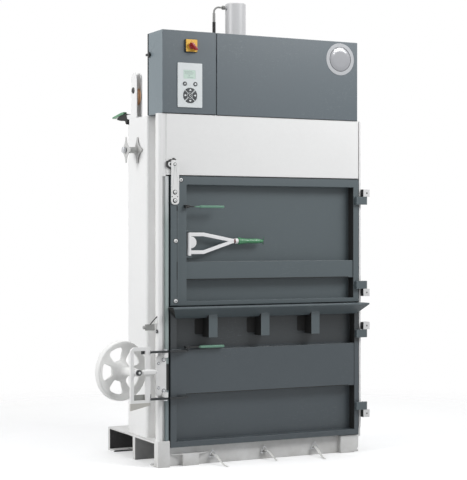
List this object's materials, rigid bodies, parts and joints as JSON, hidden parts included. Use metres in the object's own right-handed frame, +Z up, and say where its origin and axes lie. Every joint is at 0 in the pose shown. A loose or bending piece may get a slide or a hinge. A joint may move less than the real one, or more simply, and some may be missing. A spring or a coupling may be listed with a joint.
{
  "type": "recycling baler",
  "caption": "Upright hydraulic baler with a filling door above a bale door, a hand wheel clamp, a hood with keypad and main switch, and a ram cylinder on top.",
  "frame": {"origin": "on the floor, amid the four anchor holes of the base skid", "axes": "+X to the machine's right as seen by the operator, -Y to the front where the doors are, +Z up"},
  "size_m": [1.3964, 0.7359, 2.195],
  "materials": {
    "frame_paint": "satin powder coat, light grey white",
    "base_paint": "satin powder coat, light grey",
    "door_paint": "satin powder coat, mid grey",
    "hood_paint": "satin powder coat, mid grey",
    "wheel_cast": "painted cast iron",
    "dark_steel": "dark satin paint",
    "zinc_steel": "zinc plated",
    "rod_chrome": "ground and polished",
    "grip_green": "matt",
    "panel_plastic": "smooth matt",
    "key_plastic": "matt",
    "black_plastic": "matt",
    "red_plastic": "gloss",
    "pulley_nylon": "turned nylon, tan",
    "hose_rubber": "matt",
    "strap_textile": "woven polyester"
  },
  "bodies": {
    "press_frame": {"base_skid": "base_paint", "side_frame_left": "frame_paint", "side_frame_right": "frame_paint", "rear_wall": "frame_paint", "side_box_left": "frame_paint", "side_box_right": "frame_paint", "chamber_floor": "base_paint", "apron": "frame_paint", "crosshead": "frame_paint", "hood_backplate": "hood_paint", "hood_cover": "hood_paint", "control_gear": "black_plastic", "oil_tank": "dark_steel", "pump_motor": "dark_steel", "cylinder_barrel": "frame_paint", "hose_fittings": "zinc_steel", "pressure_hose": "hose_rubber", "hinge_blocks": "frame_paint", "pivot_pins": "zinc_steel", "clamp_plate": "frame_paint", "pulley_bracket": "frame_paint", "pulley_bolt": "black_plastic", "interlock_switch": "black_plastic", "spool_axle": "zinc_steel", "strap_guides": "zinc_steel", "strap_tail_left": "strap_textile", "strap_tail_middle": "strap_textile", "strap_tail_right": "strap_textile"},
    "electrics_door_body": {"electrics_door": "hood_paint", "switch_box": "black_plastic", "control_panel": "panel_plastic"},
    "cam_lock_body": {"cam_lock": "black_plastic"},
    "switch_knob_body": {"switch_knob": "red_plastic"},
    "upper_door_body": {"upper_door": "door_paint", "upper_hinge_leaves": "door_paint", "latch_bar": "frame_paint"},
    "door_lever_body": {"door_lever": "zinc_steel", "door_lever_grip": "grip_green"},
    "upper_catch_body": {"upper_catch": "grip_green"},
    "lower_door_body": {"lower_door": "door_paint", "door_lip": "door_paint", "lower_hinge_leaves": "door_paint"},
    "lower_catch_body": {"lower_catch": "grip_green"},
    "clamp_body": {"clamp_frame": "frame_paint", "clamp_arms": "dark_steel"},
    "handwheel_body": {"spindle": "dark_steel", "handwheel": "wheel_cast"},
    "platen_body": {"piston_rod": "rod_chrome", "press_platen": "dark_steel"},
    "pulley_body": {"pulley": "pulley_nylon"},
    "release_lever_body": {"release_lever": "grip_green"},
    "strap_spool_body": {"strap_spool": "base_paint"},
    "toggle_catch_body": {"toggle_catch": "zinc_steel"},
    "key_start_body": {"key_start": "key_plastic"},
    "key_stop_body": {"key_stop": "key_plastic"},
    "key_up_body": {"key_up": "key_plastic"},
    "key_down_body": {"key_down": "key_plastic"},
    "key_left_body": {"key_left": "key_plastic"},
    "key_right_body": {"key_right": "key_plastic"},
    "key_centre_body": {"key_centre": "key_plastic"}
  },
  "joints": [
    {"name": "electrics_door_hinge", "type": "hinge", "parent": "press_frame", "child": "electrics_door_body", "pos_m": [-0.254, -0.304, 1.8], "axis": [0, 0, 1], "range_deg": [0, 100]},
    {"name": "cam_lock_turn", "type": "hinge", "parent": "electrics_door_body", "child": "cam_lock_body", "pos_m": [-0.52, -0.164, 1.899], "axis": [1, 0, 0], "range_deg": [0, 90]},
    {"name": "main_switch_turn", "type": "hinge", "parent": "electrics_door_body", "child": "switch_knob_body", "pos_m": [-0.377, -0.323, 1.93], "axis": [0, 1, 0], "range_deg": [0, 90]},
    {"name": "upper_door_hinge", "type": "hinge", "parent": "press_frame", "child": "upper_door_body", "pos_m": [0.556, -0.315, 1.03], "axis": [0, 0, 1], "range_deg": [0, 120]},
    {"name": "door_lever_turn", "type": "hinge", "parent": "upper_door_body", "child": "door_lever_body", "pos_m": [-0.38, -0.296, 1.019], "axis": [0, 0, -1], "range_deg": [0, 110]},
    {"name": "upper_catch_turn", "type": "hinge", "parent": "upper_door_body", "child": "upper_catch_body", "pos_m": [-0.4, -0.322, 1.192], "axis": [0, 0, -1], "range_deg": [0, 90]},
    {"name": "lower_door_hinge", "type": "hinge", "parent": "press_frame", "child": "lower_door_body", "pos_m": [0.556, -0.315, 0.41], "axis": [0, 0, 1], "range_deg": [0, 120]},
    {"name": "lower_catch_turn", "type": "hinge", "parent": "lower_door_body", "child": "lower_catch_body", "pos_m": [-0.4, -0.322, 0.546], "axis": [0, 0, -1], "range_deg": [0, 90]},
    {"name": "clamp_swing", "type": "hinge", "parent": "press_frame", "child": "clamp_body", "pos_m": [-0.511, -0.328, 0.425], "axis": [0, 0, 1], "range_deg": [0, 95]},
    {"name": "handwheel_spin", "type": "hinge", "parent": "clamp_body", "child": "handwheel_body", "pos_m": [-0.647, -0.341, 0.441], "axis": [-0.2504, 0.9681, 0], "continuous": true},
    {"name": "ram_travel", "type": "slide", "parent": "press_frame", "child": "platen_body", "axis": [0, 0, -1], "range_m": [0, 0.57]},
    {"name": "pulley_spin", "type": "hinge", "parent": "press_frame", "child": "pulley_body", "pos_m": [-0.5105, 0.018, 1.72], "axis": [1, 0, 0], "continuous": true},
    {"name": "release_lever_lift", "type": "hinge", "parent": "press_frame", "child": "release_lever_body", "pos_m": [-0.5105, 0.092, 1.629], "axis": [1, 0, 0], "range_deg": [0, 60]},
    {"name": "strap_spool_spin", "type": "hinge", "parent": "press_frame", "child": "strap_spool_body", "pos_m": [-0.558, -0.038, 1.462], "axis": [1, 0, 0], "continuous": true},
    {"name": "toggle_catch_turn", "type": "hinge", "parent": "press_frame", "child": "toggle_catch_body", "pos_m": [-0.556, -0.291, 0.641], "axis": [0, 0, 1], "range_deg": [0, 80]},
    {"name": "key_start_press", "type": "slide", "parent": "electrics_door_body", "child": "key_start_body", "axis": [0, 1, 0], "range_m": [0, 0.001], "stiffness_N_per_m": 400, "springref_m": -0.0005},
    {"name": "key_stop_press", "type": "slide", "parent": "electrics_door_body", "child": "key_stop_body", "axis": [0, 1, 0], "range_m": [0, 0.001], "stiffness_N_per_m": 400, "springref_m": -0.0005},
    {"name": "key_up_press", "type": "slide", "parent": "electrics_door_body", "child": "key_up_body", "axis": [0, 1, 0], "range_m": [0, 0.001], "stiffness_N_per_m": 400, "springref_m": -0.0005},
    {"name": "key_down_press", "type": "slide", "parent": "electrics_door_body", "child": "key_down_body", "axis": [0, 1, 0], "range_m": [0, 0.001], "stiffness_N_per_m": 400, "springref_m": -0.0005},
    {"name": "key_left_press", "type": "slide", "parent": "electrics_door_body", "child": "key_left_body", "axis": [0, 1, 0], "range_m": [0, 0.001], "stiffness_N_per_m": 400, "springref_m": -0.0005},
    {"name": "key_right_press", "type": "slide", "parent": "electrics_door_body", "child": "key_right_body", "axis": [0, 1, 0], "range_m": [0, 0.001], "stiffness_N_per_m": 400, "springref_m": -0.0005},
    {"name": "key_centre_press", "type": "slide", "parent": "electrics_door_body", "child": "key_centre_body", "axis": [0, 1, 0], "range_m": [0, 0.001], "stiffness_N_per_m": 400, "springref_m": -0.0005}
  ]
}
